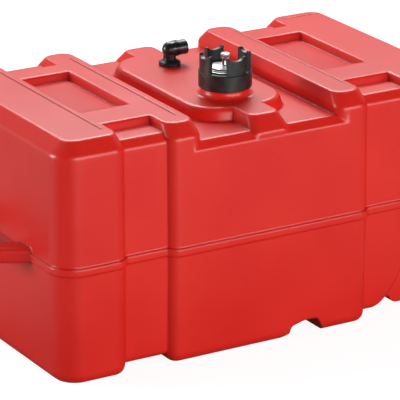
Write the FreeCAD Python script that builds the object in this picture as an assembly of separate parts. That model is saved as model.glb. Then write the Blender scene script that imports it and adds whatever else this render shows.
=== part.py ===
import FreeCAD, Part
import math
import os

# Portable outboard fuel tank. Millimetres, +X to the right seen from the front, +Y back, +Z up.
# The origin is the centre of the base.

V = FreeCAD.Vector
X_AXIS = V(1, 0, 0)
Y_AXIS = V(0, 1, 0)
Z_AXIS = V(0, 0, 1)

# Tank: overall form
TANK_LENGTH = 560.0
TANK_DEPTH = 341.0
TANK_HEIGHT = 292.0
DRAFT = 2.0
PARTING_Z = 139.6
WALL = 4.0
EDGE_R = 8.0
CORNER_R = 30.0
TOP_ROUNDING = 0.7
EDGE_CHAMFER = 15.0

# Tank: strap channels and their top pockets
CHANNEL_INNER_X = 137.0
CHANNEL_OUTER_X = 192.0
CHANNEL_DEPTH = 10.0
CHANNEL_CHAMFER = 9.0
LIP_LEAN = 4.0
POCKET_EDGES_Y = (-114.0, -68.0, 83.0, 114.0)
POCKET_RAMP = 30.0
POCKET_LEAN = 5.0

# Tank: deck between the two inner ribs, and the raised plate on it
DECK_HALF_X = 94.0
DECK_DROP = 24.2
DECK_LEAN = 3.0
DECK_CHAMFER = 9.0
PLATE_RISE = 15.2
PLATE_HALF_X = 61.5
PLATE_FRONT_Y = -115.0
PLATE_BACK_Y = 124.0
PLATE_CORNER_R = 45.0
PLATE_LEAN = 5.0
SPUR_HALF_X = 20.0
SPUR_CHAMFER = 17.0

# Tank: underside groove and cut-away lower corners
NOTCH_X = (24.0, 80.0)
NOTCH_HEIGHT = 22.0
NOTCH_R = 14.0
FOOT_HALF_Y = 131.0
UNDERCUT_START_X = 110.0
UNDERCUT_R = 85.0
UNDERCUT_HEIGHT = 92.0

# Tank: parting band
BAND_HEIGHT = 9.6
BAND_STAND = 2.3
BAND_GROOVE = 1.2

# Tank: carrying handles
HANDLE_D = 26.0
HANDLE_WALL = 3.5
HANDLE_Z = 146.0
HANDLE_REACH = 62.0
HANDLE_FOOT_Y = 97.0
HANDLE_SLANT = 30.0
HANDLE_BEND_R = 26.0
HANDLE_FLARE = 4.0
HANDLE_FLARE_L = 16.0

# Tank: engraved lines
LINE_WIDTH = 1.4
LINE_DEPTH = 0.8

LEFT_LINE_X = -206.0
LEFT_LINE_HALF_Y = 132.0
RIB_LINE_X = 109.5
RIB_LINE_HALF_Y = 140.0
BORDER_X = 264.0
BORDER_START_X = 206.0
BORDER_HALF_Y = 141.0
BORDER_R = 12.0

# Filler neck and cap
NECK_Y = -61.0
BOSS_R = 30.0
BOSS_RISE = 8.0
BOSS_EDGE_R = 2.0
NECK_R = 25.6
NECK_BORE_R = 21.5
THREAD_PITCH = 5.0
THREAD_DEPTH = 1.4
THREAD_TURNS = 1.6
THREAD_ROOT = 3.4
THREAD_CREST = 1.4
CAP_THREAD_DEPTH = 1.6
CAP_EDGE = 0.8
CAP_GAP = 1.0
CAP_R = 31.85
CAP_WALL = 2.85
CAP_STEP = 1.3
CAP_WEB_Z = 20.0
CAP_WEB = 4.0
CROWN_RISE = 21.3
CROWN_WALL = 5.0
CROWN_SLOTS = 4
CROWN_SLOT_ANGLE = 40.0
CROWN_TURN = 42.6
SCALLOP_DEPTH = 4.5
HORN_WIDTH = 2.0
GASKET_T = 2.0

# Vent and relief valve
VALVE_FLANGE_R = 18.5
VALVE_DRUM_R = 16.5
VALVE_FLANGE_T = 2.6
VALVE_DRUM_H = 10.5
VALVE_SPIGOT_R = 10.0
VALVE_SPIGOT_L = 14.0
VALVE_CHAMBER_R = 8.2
VALVE_CHAMBER_RISE = 3.0
VALVE_SEAL_T = 0.8
VENT_WAYS = 4
VENT_WAY_R = 1.1
NUT_R = 16.5
NUT_T = 5.0
NUT_NOTCHES = 6
NUT_NOTCH = 2.0
NUT_NOTCH_ANGLE = 16.0
VENT_HEAD_R = 6.0
VENT_HEAD_H = 6.0
VENT_STEM_R = 2.4
VENT_TIP_L = 3.0
VENT_TIP_R = 2.2
VENT_LIFT = 4.0
STEM_SEAL_R = 0.85
VENT_PITCH = 1.0
VENT_FLUTES = 24
FLUTE_R = 0.45
NIPPLE_R = 0.9
NIPPLE_L = 1.4
SEAT_T = 1.6
SEAT_LIP = 0.4
SEAT_HOLE_R = 1.5
RELIEF_HOLES = 6
RELIEF_HOLE_R = 1.0
RELIEF_RING_R = 5.6
RELIEF_LIFT = 1.5
DISC_T = 1.0
DISC_SEAL_T = 1.2
SPRING_WIRE_R = 0.35
SPRING_R = 5.5
SPRING_COILS = 5.0

# Pickup fitting
PICKUP_Y = 70.0
FLANGE_R = 13.4
FLANGE_H = 5.0
PICKUP_BOSS_R = 15.0
PICKUP_BOSS_H = 18.0
PICKUP_SEAL_T = 1.2
BUSHING_THREAD_R = 9.5
BUSHING_LENGTH = 24.0
BUSHING_BORE_R = 5.6
BARB_R = 4.8
BARB_LENGTH = 14.0
BARB_WALL = 1.4
SNAP_ROOM = 5.0
SNAP_STEP = 1.0
SNAP_T = 1.0
SNAP_SPLIT_ANGLE = 50.0
ELBOW_SEAL_R = 0.5
ELBOW_RIBS = 3
ELBOW_RIB = 0.5
ELBOW_RIB_X = 5.0
ELBOW_RIB_PITCH = 2.0
ELBOW_STEM_R = 7.75
ELBOW_BODY_R = 9.3
ELBOW_BARREL_R = 9.25
ELBOW_REACH = 21.4
ELBOW_AXIS_RISE = 19.5
ELBOW_BORE_R = 3.5
OUTLET_R = 5.6
OUTLET_LENGTH = 11.0
TUBE_WALL = 1.6
TUBE_FLOOR_GAP = 14.0
CAGE_R = 9.5
CAGE_HEIGHT = 26.0
CAGE_WALL = 1.4
CAGE_WINDOWS = 8
CAGE_WINDOW_ANGLE = 30.0
CAGE_FLOOR_GAP = 5.0
SCREEN_WALL = 0.5

# Clearances
RUNNING = 0.05
CLEAR = 0.3

HALF_X = TANK_LENGTH / 2
HALF_Y = TANK_DEPTH / 2
TAN_22 = math.tan(math.radians(22.5))
DECK_Z = TANK_HEIGHT - DECK_DROP
PLATE_Z = DECK_Z + PLATE_RISE
CAP_RIM_Z = PLATE_Z + BOSS_RISE + CAP_GAP
WEB_TOP_Z = CAP_RIM_Z + CAP_WEB_Z
WEB_BOTTOM_Z = WEB_TOP_Z - CAP_WEB
NECK_TOP_Z = WEB_BOTTOM_Z - GASKET_T - 2 * RUNNING
CROWN_TOP_Z = WEB_TOP_Z + CROWN_RISE
CROWN_R = CAP_R - CAP_STEP
FLANGE_Z = WEB_TOP_Z + VALVE_SEAL_T
DRUM_Z = FLANGE_Z + VALVE_FLANGE_T
DRUM_TOP_Z = DRUM_Z + VALVE_DRUM_H
SPIGOT_Z = FLANGE_Z - VALVE_SPIGOT_L
CHAMBER_TOP_Z = DRUM_Z + VALVE_CHAMBER_RISE
SEAT_TOP_Z = SPIGOT_Z + SEAT_T
HEAD_Z = DRUM_TOP_Z + 2 * CLEAR
STEM_END_Z = SEAT_TOP_Z + VENT_TIP_L
BUSHING_TOP_Z = PLATE_Z + PICKUP_SEAL_T + FLANGE_H
BUSHING_END_Z = PLATE_Z - BUSHING_LENGTH
ELBOW_AXIS_Z = PLATE_Z + ELBOW_AXIS_RISE


# Small helpers

def box(x0, x1, y0, y1, z0, z1):
    return Part.makeBox(x1 - x0, y1 - y0, z1 - z0, V(x0, y0, z0))


def cylinder(radius, z0, z1, x=0.0, y=0.0):
    return Part.makeCylinder(radius, z1 - z0, V(x, y, z0))


def polygon(points):
    return Part.makePolygon(list(points) + [points[0]])


def revolved(outline, x=0.0, y=0.0):
    """Turns (radius, z) points about a vertical axis through x, y."""
    wire = polygon([V(r, 0, z) for r, z in outline])
    solid = Part.Face(wire).revolve(V(0, 0, 0), Z_AXIS, 360)
    solid.translate(V(x, y, 0))
    return solid


def joined(shapes):
    return shapes[0].fuse(shapes[1:]).removeSplitter()


def rounded_wire(points, place):
    """Closed outline through (u, v, radius) corners, each rounded tangentially."""
    edges = []
    count = len(points)
    starts = []
    ends = []
    for i in range(count):
        before = V(points[i - 1][0], points[i - 1][1], 0)
        here = V(points[i][0], points[i][1], 0)
        after = V(points[(i + 1) % count][0], points[(i + 1) % count][1], 0)
        radius = points[i][2]
        to_before = (before - here).normalize()
        to_after = (after - here).normalize()
        if radius <= 0:
            starts.append(here)
            ends.append(here)
            continue
        half = to_before.getAngle(to_after) / 2
        reach = radius / math.tan(half)
        start = here + to_before * reach
        end = here + to_after * reach
        centre = here + (to_before + to_after).normalize() * (radius / math.sin(half))
        middle = centre + (here - centre).normalize() * radius
        edges.append(Part.Arc(place(start), place(middle), place(end)).toShape())
        starts.append(start)
        ends.append(end)
    for i in range(count):
        following = starts[(i + 1) % count]
        if ends[i].distanceToPoint(following) > 1e-6:
            edges.append(Part.makeLine(place(ends[i]), place(following)))
    return Part.Wire(Part.__sortEdges__(edges))


def prism_along_y(points, y0, y1):
    wire = rounded_wire(points, lambda p: V(p.x, y0, p.y))
    return Part.Face(wire).extrude(V(0, y1 - y0, 0))


def prism_along_x(points, x0, x1):
    wire = rounded_wire(points, lambda p: V(x0, p.x, p.y))
    return Part.Face(wire).extrude(V(x1 - x0, 0, 0))


def prism_up(points, z0, z1):
    wire = rounded_wire(points, lambda p: V(p.x, p.y, z0))
    return Part.Face(wire).extrude(V(0, 0, z1 - z0))


def level_edges(solid, z):
    """Edges that lie in one horizontal plane."""
    found = []
    for edge in solid.Edges:
        bounds = edge.BoundBox
        if abs(bounds.ZMin - z) < 0.01 and bounds.ZLength < 0.01:
            found.append(edge)
    return found


def loft_block(levels, fillets):
    """Ruled loft through (z, x0, x1, half_y, low radius, high radius), then rounds named levels."""
    wires = []
    for z, x0, x1, half_y, r_low, r_high in levels:
        corners = [(x0, -half_y, r_low), (x1, -half_y, r_high), (x1, half_y, r_high), (x0, half_y, r_low)]
        wires.append(rounded_wire(corners, lambda p, z=z: V(p.x, p.y, z)))
    solid = Part.makeLoft(wires, True, True)
    for z, radius in fillets:
        solid = solid.makeFillet(radius, level_edges(solid, z))
    return solid.Solids[0]


# Tank moulding

def draft_at(z):
    """How far the sides have drawn in at a height, nothing at the parting line."""
    if z > PARTING_Z:
        return DRAFT * (z - PARTING_Z) / (TANK_HEIGHT - PARTING_Z)
    return DRAFT * (PARTING_Z - z) / PARTING_Z


def lobe(x0, x1, low_end, high_end, inset):
    """One full-height lobe; low_end and high_end mark the tank's outer ends."""
    chamfer = EDGE_CHAMFER
    inner_r = EDGE_R - inset + 0.5
    outer_r = CORNER_R - inset
    bottom = inset
    top = TANK_HEIGHT - inset
    lower = TANK_HEIGHT - chamfer - inset * TAN_22
    top_step = chamfer - inset * (1 - TAN_22)
    levels = []
    for z, step, lean in [(bottom, 0, 0), (PARTING_Z, 0, 0), (lower, 0, 0), (top, top_step, LIP_LEAN)]:
        half_y = HALF_Y - draft_at(z) - inset - step
        xa = x0 + draft_at(z) + inset + step if low_end else x0 + inset + lean
        xb = x1 - draft_at(z) - inset - step if high_end else x1 - inset - lean
        r_low = outer_r - step if low_end else inner_r
        r_high = outer_r - step if high_end else inner_r
        levels.append((z, xa, xb, half_y, r_low, r_high))
    small = EDGE_R - inset
    return loft_block(levels, [(bottom, small), (lower, small), (top, small * TOP_ROUNDING)])


def waist(inset):
    """The body between the lobes, seen as the floors of the strap channels."""
    down = CHANNEL_DEPTH + inset
    chamfer = CHANNEL_CHAMFER
    top = TANK_HEIGHT - down
    lower = top - chamfer
    levels = []
    for z, step in [(down, 0), (PARTING_Z, 0), (lower, 0), (top, chamfer)]:
        half_y = HALF_Y - draft_at(z) - down - step
        reach = (CHANNEL_OUTER_X + HALF_X) / 2
        levels.append((z, -reach, reach, half_y, EDGE_R - inset + 1, EDGE_R - inset + 1))
    small = EDGE_R - inset
    return loft_block(levels, [(down, small), (lower, small), (top, small * TOP_ROUNDING)])



def lands(inset):
    """Full-height bridges across the two channels, with the pockets before, between and behind them."""
    front, ramp, wall, back = POCKET_EDGES_Y
    top = TANK_HEIGHT - inset
    foot = TANK_HEIGHT - CHANNEL_DEPTH - EDGE_R
    slope = POCKET_LEAN * (top - foot) / CHANNEL_DEPTH
    ramp_run = POCKET_RAMP * (top - foot) / CHANNEL_DEPTH
    rounding = EDGE_R / 2
    outlines = [
        [(front - slope + inset, foot, 0), (front + inset, top, rounding),
         (ramp - inset, top, rounding), (ramp + ramp_run - inset, foot, 0)],
        [(wall - slope + inset, foot, 0), (wall + inset, top, rounding),
         (back - inset, top, rounding), (back + slope - inset, foot, 0)],
    ]
    found = []
    reach = EDGE_R + LIP_LEAN
    for outline in outlines:
        found.append(prism_along_x(outline, -CHANNEL_OUTER_X - reach, -CHANNEL_INNER_X + reach))
        found.append(prism_along_x(outline, CHANNEL_INNER_X - reach, CHANNEL_OUTER_X + reach))
    return found


def deck_cutter(inset):
    """Space above the deck, between the two inner ribs."""
    floor = DECK_Z - inset
    top = TANK_HEIGHT - inset
    foot = DECK_HALF_X - DECK_LEAN + inset
    lip = DECK_HALF_X + inset
    above = top + EDGE_R
    flare = EDGE_R - inset
    outline = [
        (-foot, floor, EDGE_R / 2 + inset), (foot, floor, EDGE_R / 2 + inset), (lip, top - flare / 2, flare),
        (lip + flare, top + flare / 2, 0), (lip + flare, above, 0),
        (-lip - flare, above, 0), (-lip - flare, top + flare / 2, 0), (-lip, top - flare / 2, flare),
    ]
    return prism_along_y(outline, -HALF_Y - EDGE_R, HALF_Y + EDGE_R)


def deck_edge_cutters(inset):
    """Chamfers along the deck's front and back edges."""
    side = HALF_Y - draft_at(DECK_Z) - inset
    top = DECK_Z - inset
    size = DECK_CHAMFER - inset * (1 - TAN_22)
    half = DECK_HALF_X - DECK_LEAN + inset
    found = []
    for way in (-1, 1):
        outline = [
            (way * (side - size), top, 0), (way * side, top - size, 0),
            (way * (side + size), top - size, 0), (way * (side + size), top, 0),
        ]
        found.append(prism_along_x(outline, -half, half))
    return found


def plate(inset):
    """Raised plate on the deck that carries the filler neck and the pickup."""
    top = PLATE_Z - inset
    foot = DECK_Z - EDGE_R
    rise = top - foot
    lean = PLATE_LEAN * rise / PLATE_RISE
    levels = []
    for z, out in [(foot, lean), (top, 0.0)]:
        half = PLATE_HALF_X + out - inset
        levels.append((z, half, PLATE_CORNER_R + out - inset))
    wires = []
    for z, half, radius in levels:
        out = half - PLATE_HALF_X
        corners = [(-half, PLATE_FRONT_Y - out, radius), (half, PLATE_FRONT_Y - out, radius),
                   (half, PLATE_BACK_Y + out, radius), (-half, PLATE_BACK_Y + out, radius)]
        wires.append(rounded_wire(corners, lambda p, z=z: V(p.x, p.y, z)))
    solid = Part.makeLoft(wires, True, True)
    rounding = EDGE_R - inset - 1.0
    return solid.makeFillet(rounding, level_edges(solid, top)).Solids[0]


def spurs(inset):
    """Ridge from front to back through the plate, sloped at both ends."""
    top = PLATE_Z - inset
    foot = DECK_Z - EDGE_R
    side = HALF_Y - draft_at(DECK_Z) - inset
    lower = top - SPUR_CHAMFER
    lean = PLATE_LEAN / PLATE_RISE
    half_top = SPUR_HALF_X - inset
    levels = []
    for z, half_y in [(foot, side), (lower, side), (top, side - SPUR_CHAMFER)]:
        half = half_top + (top - z) * lean
        levels.append((z, -half, half, half_y, EDGE_R - inset, EDGE_R - inset))
    rounding = EDGE_R - inset - 1.0
    return loft_block(levels, [(lower, rounding), (top, rounding)])


def notch_cutter(inset):
    """Groove under the tank, open at the front and the back."""
    left, right = NOTCH_X
    top = NOTCH_HEIGHT + inset
    outline = [
        (left - inset, -EDGE_R, 0), (right + inset, -EDGE_R, 0),
        (right + inset, top, NOTCH_R + inset), (left - inset, top, NOTCH_R + inset),
    ]
    return prism_along_y(outline, -HALF_Y - EDGE_R, HALF_Y + EDGE_R)


def undercut_cutters(inset):
    """Cut-away lower corners at the right end, on both sides of a central foot."""
    radius = UNDERCUT_R - inset
    start_x = UNDERCUT_START_X
    centre_z = UNDERCUT_R
    side = HALF_X + EDGE_R
    low = -EDGE_R
    top = UNDERCUT_HEIGHT + inset
    half = math.sqrt(0.5) * radius
    found = []
    for way in (-1, 1):
        y = way * (FOOT_HALF_Y - inset)
        points = [
            V(start_x, y, centre_z - radius), V(start_x + half, y, centre_z - half),
            V(start_x + radius, y, centre_z),
        ]
        arc = Part.Arc(points[0], points[1], points[2]).toShape()
        rest = Part.makePolygon([
            points[2], V(start_x + radius, y, top), V(side, y, top), V(side, y, low),
            V(start_x, y, low), points[0],
        ])
        face = Part.Face(Part.Wire([arc] + rest.Edges))
        found.append(face.extrude(V(0, way * (HALF_Y + EDGE_R - FOOT_HALF_Y + inset), 0)))
    return found


def tank_form(inset):
    """The moulding's outside, or with an inset the inside of its wall."""
    shape = waist(inset)
    parts = [
        lobe(-HALF_X, -CHANNEL_OUTER_X, True, False, inset),
        lobe(-CHANNEL_INNER_X, CHANNEL_INNER_X, False, False, inset),
        lobe(CHANNEL_OUTER_X, HALF_X, False, True, inset),
    ]
    shape = shape.fuse(parts + lands(inset))
    cutters = [deck_cutter(inset), notch_cutter(inset)] + deck_edge_cutters(inset) + undercut_cutters(inset)
    shape = shape.cut(cutters)
    return shape.fuse([plate(inset), spurs(inset)])



def parting_band(form):
    """Two-ridged band that follows the sides, in and out of the strap channels."""
    outline = form.slice(Z_AXIS, PARTING_Z)[0]
    wide = Part.Face(outline.makeOffset2D(BAND_STAND))
    ridged = Part.Face(outline.makeOffset2D(BAND_STAND - BAND_GROOVE))
    ridge = (BAND_HEIGHT - BAND_GROOVE) / 2
    layers = []
    z = PARTING_Z - BAND_HEIGHT / 2
    for face, height in [(wide, ridge), (ridged, BAND_GROOVE), (wide, ridge)]:
        layer = face.extrude(V(0, 0, height))
        layer.translate(V(0, 0, z - PARTING_Z))
        layers.append(layer)
        z = z + height
    return layers


def handle_path(way, lead):
    """Centre line of one loop handle; lead is how far its ends run on into the tank."""
    slant = math.tan(math.radians(HANDLE_SLANT))
    radius = HANDLE_D / 2
    face_x = HALF_X
    out_x = HALF_X + HANDLE_REACH - radius
    foot_y = HANDLE_FOOT_Y - radius / math.cos(math.radians(HANDLE_SLANT))
    grip_y = foot_y - (out_x - face_x) * slant
    start = V(face_x - lead, foot_y + lead * slant, 0)
    bend = V(out_x, grip_y, 0)
    to_start = (start - bend).normalize()
    to_grip = V(0, -1, 0)
    half = to_start.getAngle(to_grip) / 2
    reach = HANDLE_BEND_R / math.tan(half)
    arm_end = bend + to_start * reach
    grip_end = bend + to_grip * reach
    centre = bend + (to_start + to_grip).normalize() * (HANDLE_BEND_R / math.sin(half))
    middle = centre + (bend - centre).normalize() * HANDLE_BEND_R

    def at(point, side):
        return V(way * point.x, side * point.y, HANDLE_Z)

    edges = [
        Part.makeLine(at(start, 1), at(arm_end, 1)),
        Part.Arc(at(arm_end, 1), at(middle, 1), at(grip_end, 1)).toShape(),
        Part.makeLine(at(grip_end, 1), at(grip_end, -1)),
        Part.Arc(at(grip_end, -1), at(middle, -1), at(arm_end, -1)).toShape(),
        Part.makeLine(at(arm_end, -1), at(start, -1)),
    ]
    return Part.Wire(edges)


def swept_tube(path, radius):
    """Round bar along a path."""
    start = path.Vertexes[0].Point
    direction = path.Edges[0].tangentAt(path.Edges[0].FirstParameter)
    circle = Part.Wire([Part.makeCircle(radius, start, direction)])
    return path.makePipeShell([circle], True, True)


def handle_feet(way):
    """Flared roots where the handle's arms leave the end face."""
    feet = []
    slant = math.radians(HANDLE_SLANT)
    radius = HANDLE_D / 2
    foot_y = HANDLE_FOOT_Y - radius / math.cos(slant)
    for side in (-1, 1):
        direction = V(way * math.cos(slant), -side * math.sin(slant), 0)
        start = V(way * HALF_X, side * foot_y, HANDLE_Z) - direction * HANDLE_WALL * 2
        feet.append(Part.makeCone(radius + HANDLE_FLARE, radius, HANDLE_FLARE_L, start, direction))
    return feet


def helix_rib(radius, crest, pitch, turns, z, root_width, crest_width):
    """Trapezoid thread rib around the Z axis; crest is positive outwards and negative inwards."""
    helix = Part.makeHelix(pitch, pitch * turns, radius)
    helix.translate(V(0, 0, z))
    bury = -0.4 if crest > 0 else 0.4
    outline = polygon([
        V(radius + bury, 0, z - root_width / 2), V(radius + crest, 0, z - crest_width / 2),
        V(radius + crest, 0, z + crest_width / 2), V(radius + bury, 0, z + root_width / 2),
    ])
    return Part.Wire(helix).makePipeShell([outline], True, True)



def engraved_lines():
    """Plain grooves in the tops of the lobes and the outer ribs."""
    low = TANK_HEIGHT - LINE_DEPTH
    high = TANK_HEIGHT + EDGE_R
    half = LINE_WIDTH / 2
    found = []
    for x, reach in [(LEFT_LINE_X, LEFT_LINE_HALF_Y), (-RIB_LINE_X, RIB_LINE_HALF_Y), (RIB_LINE_X, RIB_LINE_HALF_Y)]:
        found.append(box(x - half, x + half, -reach, reach, low, high))
    rings = []
    for out in (half, -half):
        corners = []
        for x, y in [(0, -1), (1, -1), (1, 1), (0, 1)]:
            corners.append((BORDER_X * x + out * x, (BORDER_HALF_Y + out) * y, (BORDER_R + out) * x))
        rings.append(prism_up(corners, low, high))
    border = rings[0].cut(rings[1])
    found.append(border.common(box(BORDER_START_X, HALF_X, -HALF_Y, HALF_Y, low, high)))
    return found


def tank_body():
    outside = tank_form(0.0)
    radius = HANDLE_D / 2
    added = parting_band(outside)
    boss = cylinder(BOSS_R, PLATE_Z - WALL / 2, PLATE_Z + BOSS_RISE, 0, NECK_Y)
    boss = boss.makeFillet(BOSS_EDGE_R, level_edges(boss, PLATE_Z + BOSS_RISE))
    neck = cylinder(NECK_R, PLATE_Z, NECK_TOP_Z, 0, NECK_Y)
    thread_z = NECK_TOP_Z - THREAD_PITCH * THREAD_TURNS - THREAD_ROOT
    thread = helix_rib(NECK_R, THREAD_DEPTH, THREAD_PITCH, THREAD_TURNS, thread_z, THREAD_ROOT, THREAD_CREST)
    thread.translate(V(0, NECK_Y, 0))
    added = added + [boss, neck, thread]
    inside = tank_form(WALL)
    seat = cylinder(PICKUP_BOSS_R, PLATE_Z - PICKUP_BOSS_H, PLATE_Z, 0, PICKUP_Y)
    inside = inside.cut(seat)
    taken = [inside]
    for way in (-1, 1):
        added.append(swept_tube(handle_path(way, 3 * WALL), radius))
        added = added + handle_feet(way)
        taken.append(swept_tube(handle_path(way, 5 * WALL), radius - HANDLE_WALL))
    taken.append(cylinder(NECK_BORE_R, PLATE_Z - 2 * WALL, NECK_TOP_Z + WALL, 0, NECK_Y))
    taken.append(cylinder(BUSHING_THREAD_R + RUNNING, PLATE_Z - 2 * PICKUP_BOSS_H, PLATE_Z + WALL, 0, PICKUP_Y))
    outside = outside.fuse(added)
    return outside.cut(taken + engraved_lines())


# Filler cap

def wedge(angle, width, r0, r1, z0, z1):
    """Sector between two radii, centred on an angle in degrees."""
    points = []
    for r, side in [(r0, -1), (r1, -1), (r1, 1), (r0, 1)]:
        a = math.radians(angle + side * width / 2)
        points.append((r * math.cos(a), r * math.sin(a), 0))
    return prism_up(points, z0, z1)


def fill_cap():
    bore = CAP_R - CAP_WALL
    crown_in = CROWN_R - CROWN_WALL
    hole = VALVE_SPIGOT_R + RUNNING
    step_z = WEB_TOP_Z - CAP_STEP
    soft = CAP_EDGE
    solid = revolved([
        (bore, CAP_RIM_Z), (CAP_R - soft, CAP_RIM_Z), (CAP_R, CAP_RIM_Z + soft), (CAP_R, step_z),
        (CROWN_R, step_z + CAP_STEP), (CROWN_R, CROWN_TOP_Z - soft), (CROWN_R - soft, CROWN_TOP_Z),
        (crown_in + soft, CROWN_TOP_Z), (crown_in, CROWN_TOP_Z - soft), (crown_in, WEB_TOP_Z),
        (hole, WEB_TOP_Z), (hole, WEB_BOTTOM_Z), (bore, WEB_BOTTOM_Z),
    ])
    thread_z = CAP_RIM_Z + THREAD_ROOT
    thread = helix_rib(bore, -CAP_THREAD_DEPTH, THREAD_PITCH, THREAD_TURNS, thread_z, THREAD_ROOT, THREAD_CREST)
    solid = solid.fuse(thread)
    pitch = 360.0 / CROWN_SLOTS
    wall_angle = pitch - CROWN_SLOT_ANGLE
    middle_r = (CROWN_R + crown_in) / 2
    chord = 2 * middle_r * math.sin(math.radians(wall_angle / 2)) - 2 * HORN_WIDTH
    dish_r = (chord * chord / 4 + SCALLOP_DEPTH * SCALLOP_DEPTH) / (2 * SCALLOP_DEPTH)
    cutters = []
    for k in range(CROWN_SLOTS):
        angle = CROWN_TURN + k * pitch
        cutters.append(wedge(angle, CROWN_SLOT_ANGLE, crown_in - CROWN_WALL, CAP_R + CROWN_WALL,
                             WEB_TOP_Z, CROWN_TOP_Z + CROWN_WALL))
        a = math.radians(angle + pitch / 2)
        direction = V(math.cos(a), math.sin(a), 0)
        start = direction * (crown_in - CROWN_WALL) + V(0, 0, CROWN_TOP_Z - SCALLOP_DEPTH + dish_r)
        cutters.append(Part.makeCylinder(dish_r, 3 * CROWN_WALL, start, direction))
    solid = solid.cut(cutters)
    solid.translate(V(0, NECK_Y, 0))
    return solid


def ring(r0, r1, z0, z1, y):
    return cylinder(r1, z0, z1, 0, y).cut(cylinder(r0, z0, z1, 0, y))


def torus(mean_r, wire_r, z, y):
    return Part.makeTorus(mean_r, wire_r, V(0, y, z), Z_AXIS)


def fill_cap_gasket():
    return ring(NECK_BORE_R, NECK_R + THREAD_DEPTH, NECK_TOP_Z + RUNNING, WEB_BOTTOM_Z - RUNNING, NECK_Y)


# Vent and relief valve

def valve_body():
    """Metal drum in the crown, with a spigot through the web and a spring chamber inside."""
    edge = CAP_EDGE
    solid = revolved([
        (0, SPIGOT_Z), (VALVE_SPIGOT_R, SPIGOT_Z), (VALVE_SPIGOT_R, FLANGE_Z), (VALVE_FLANGE_R, FLANGE_Z),
        (VALVE_FLANGE_R, DRUM_Z - edge), (VALVE_FLANGE_R - edge, DRUM_Z), (VALVE_DRUM_R, DRUM_Z),
        (VALVE_DRUM_R, DRUM_TOP_Z - 2 * edge), (VALVE_DRUM_R - 2 * edge, DRUM_TOP_Z), (0, DRUM_TOP_Z),
    ])
    gland_z = DRUM_TOP_Z - 2 * STEM_SEAL_R
    cutters = [
        cylinder(VALVE_CHAMBER_R + SEAT_LIP, SPIGOT_Z, SEAT_TOP_Z),
        cylinder(VALVE_CHAMBER_R, SPIGOT_Z, CHAMBER_TOP_Z),
        cylinder(VENT_STEM_R + RUNNING, SPIGOT_Z, DRUM_TOP_Z),
        cylinder(VENT_STEM_R + 2 * STEM_SEAL_R + 3 * RUNNING, gland_z - 2 * STEM_SEAL_R - 2 * RUNNING, gland_z),
    ]
    way_z = DRUM_Z + VENT_WAY_R + RUNNING
    for k in range(VENT_WAYS):
        a = math.radians(CROWN_TURN + k * 360.0 / VENT_WAYS)
        direction = V(math.cos(a), math.sin(a), 0)
        cutters.append(Part.makeCylinder(VENT_WAY_R, VALVE_FLANGE_R, V(0, 0, way_z), direction))
    solid = solid.cut(cutters)
    solid.translate(V(0, NECK_Y, 0))
    return solid


def valve_body_gasket():
    return ring(VALVE_SPIGOT_R + RUNNING, VALVE_FLANGE_R + CLEAR, WEB_TOP_Z, FLANGE_Z, NECK_Y)


def valve_body_nut():
    """Ring nut with spanner notches, under the cap's web."""
    low = WEB_BOTTOM_Z - NUT_T
    solid = ring(VALVE_SPIGOT_R, NUT_R, low, WEB_BOTTOM_Z, 0)
    cutters = []
    for k in range(NUT_NOTCHES):
        angle = k * 360.0 / NUT_NOTCHES
        cutters.append(wedge(angle, NUT_NOTCH_ANGLE, NUT_R - NUT_NOTCH, NUT_R + NUT_NOTCH, low, WEB_BOTTOM_Z))
    solid = solid.cut(cutters)
    solid.translate(V(0, NECK_Y, 0))
    return solid


def vent_screw():
    """Knurled head on a round stem that ends in a nipple for the soft tip."""
    edge = CAP_EDGE
    head_top = HEAD_Z + VENT_HEAD_H
    solid = revolved([
        (0, STEM_END_Z - NIPPLE_L), (NIPPLE_R, STEM_END_Z - NIPPLE_L), (NIPPLE_R, STEM_END_Z),
        (VENT_STEM_R, STEM_END_Z), (VENT_STEM_R, HEAD_Z), (VENT_HEAD_R - edge, HEAD_Z),
        (VENT_HEAD_R, HEAD_Z + edge), (VENT_HEAD_R, head_top - edge), (VENT_HEAD_R - edge, head_top),
        (0, head_top),
    ])
    flutes = []
    for k in range(VENT_FLUTES):
        a = 2 * math.pi * k / VENT_FLUTES
        flutes.append(cylinder(FLUTE_R, HEAD_Z - edge, head_top + edge,
                               VENT_HEAD_R * math.cos(a), VENT_HEAD_R * math.sin(a)))
    solid = solid.cut(flutes)
    solid.translate(V(0, NECK_Y, 0))
    return solid


def vent_screw_tip():
    """Soft swivelling tip that closes the vent hole."""
    low = SEAT_TOP_Z + RUNNING
    high = STEM_END_Z - RUNNING
    solid = revolved([
        (0, low), (VENT_TIP_R - CAP_EDGE, low), (VENT_TIP_R, low + CAP_EDGE), (VENT_TIP_R, high),
        (NIPPLE_R + RUNNING, high), (NIPPLE_R + RUNNING, STEM_END_Z - NIPPLE_L - RUNNING),
        (0, STEM_END_Z - NIPPLE_L - RUNNING),
    ], 0, NECK_Y)
    return solid


def vent_stem_seal():
    z = DRUM_TOP_Z - 3 * STEM_SEAL_R - RUNNING
    return torus(VENT_STEM_R + STEM_SEAL_R + 2 * RUNNING, STEM_SEAL_R, z, NECK_Y)


def relief_seat():
    """Plate in the spigot's mouth, with the vent hole and a ring of relief holes."""
    solid = cylinder(VALVE_CHAMBER_R + SEAT_LIP, SPIGOT_Z, SEAT_TOP_Z)
    cutters = [cylinder(SEAT_HOLE_R, SPIGOT_Z, SEAT_TOP_Z)]
    for k in range(RELIEF_HOLES):
        a = 2 * math.pi * k / RELIEF_HOLES
        cutters.append(cylinder(RELIEF_HOLE_R, SPIGOT_Z, SEAT_TOP_Z,
                                RELIEF_RING_R * math.cos(a), RELIEF_RING_R * math.sin(a)))
    solid = solid.cut(cutters)
    solid.translate(V(0, NECK_Y, 0))
    return solid


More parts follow.
